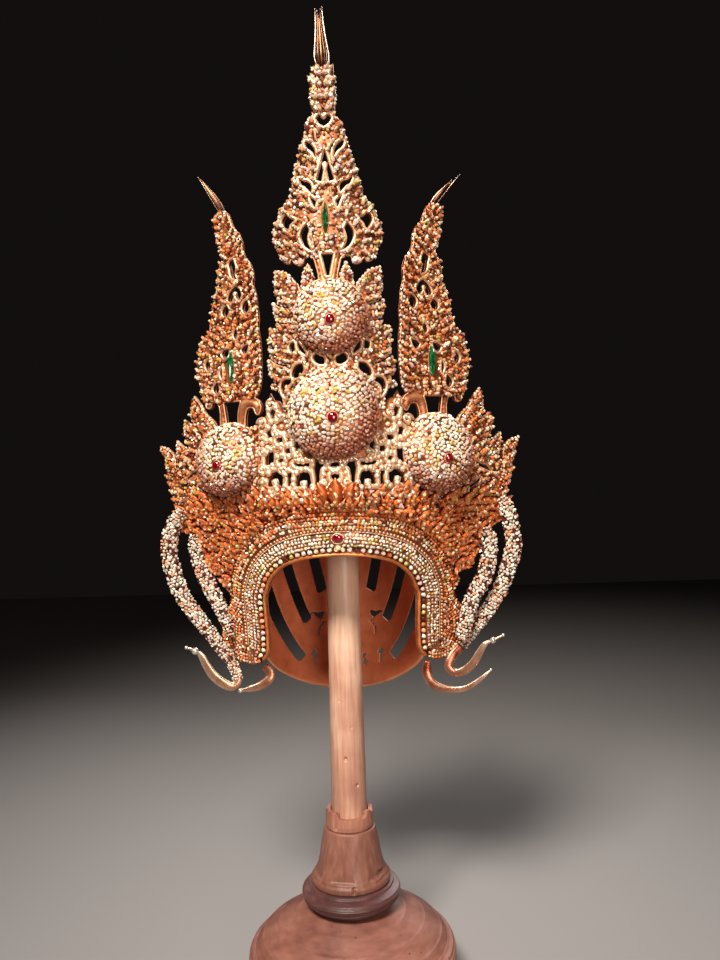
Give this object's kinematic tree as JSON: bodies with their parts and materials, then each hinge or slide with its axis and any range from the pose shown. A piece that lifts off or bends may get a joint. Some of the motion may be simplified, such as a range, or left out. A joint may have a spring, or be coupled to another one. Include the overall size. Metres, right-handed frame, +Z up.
{
  "type": "apsara headdress on a wooden display stand",
  "caption": "Tall gilt filigree dance crown with spires, domed jewelled discs, hanging tresses and an open face, standing on a turned wooden post and drum.",
  "frame": {"origin": "middle of the drum's flat underside, on the axis of the post", "axes": "+Z up along the post, -Y towards the viewer who looks into the face opening, +X to that viewer's right"},
  "size_m": [0.3532, 0.2191, 0.8953],
  "materials": {
    "wood": "raw turned hardwood, dry and lightly pitted",
    "copper_interior": "dull copper-brown inside, gilt outside",
    "gilt_metal": "polished gilt, set with small clear stones",
    "orange_gilt": "deep orange gilt, beaded",
    "paved_disc": "gilt dome closely paved with clear stones",
    "paved_tress": "strap closely paved with clear stones",
    "ruby_glass": "deep red polished cabochon",
    "emerald_glass": "dark green polished pointed oval"
  },
  "bodies": {
    "root": {"stand_drum": "wood", "stand_ring": "wood", "stand_foot": "wood", "stand_collar": "wood", "stand_post": "wood", "cap_shell": "copper_interior", "brow_band": "gilt_metal", "lattice_plate": "gilt_metal", "side_leaf_plate_right": "gilt_metal", "side_leaf_plate_left": "gilt_metal", "upper_leaf_plate": "gilt_metal", "spire_center": "gilt_metal", "spire_right": "gilt_metal", "spire_left": "gilt_metal", "tip_center": "gilt_metal", "tip_right": "gilt_metal", "tip_left": "gilt_metal", "tendril_upper_right": "gilt_metal", "tendril_upper_left": "gilt_metal", "tendril_lower_right": "gilt_metal", "tendril_lower_left": "gilt_metal", "diadem_plate": "orange_gilt", "center_disc": "paved_disc", "upper_disc": "paved_disc", "side_disc_right": "paved_disc", "side_disc_left": "paved_disc", "tress_outer_right": "paved_tress", "tress_outer_left": "paved_tress", "tress_inner_right": "paved_tress", "tress_inner_left": "paved_tress", "ruby_center": "ruby_glass", "ruby_upper": "ruby_glass", "ruby_side_right": "ruby_glass", "ruby_side_left": "ruby_glass", "ruby_brow": "ruby_glass", "emerald_center": "emerald_glass", "emerald_right": "emerald_glass", "emerald_left": "emerald_glass"}
  },
  "joints": []
}
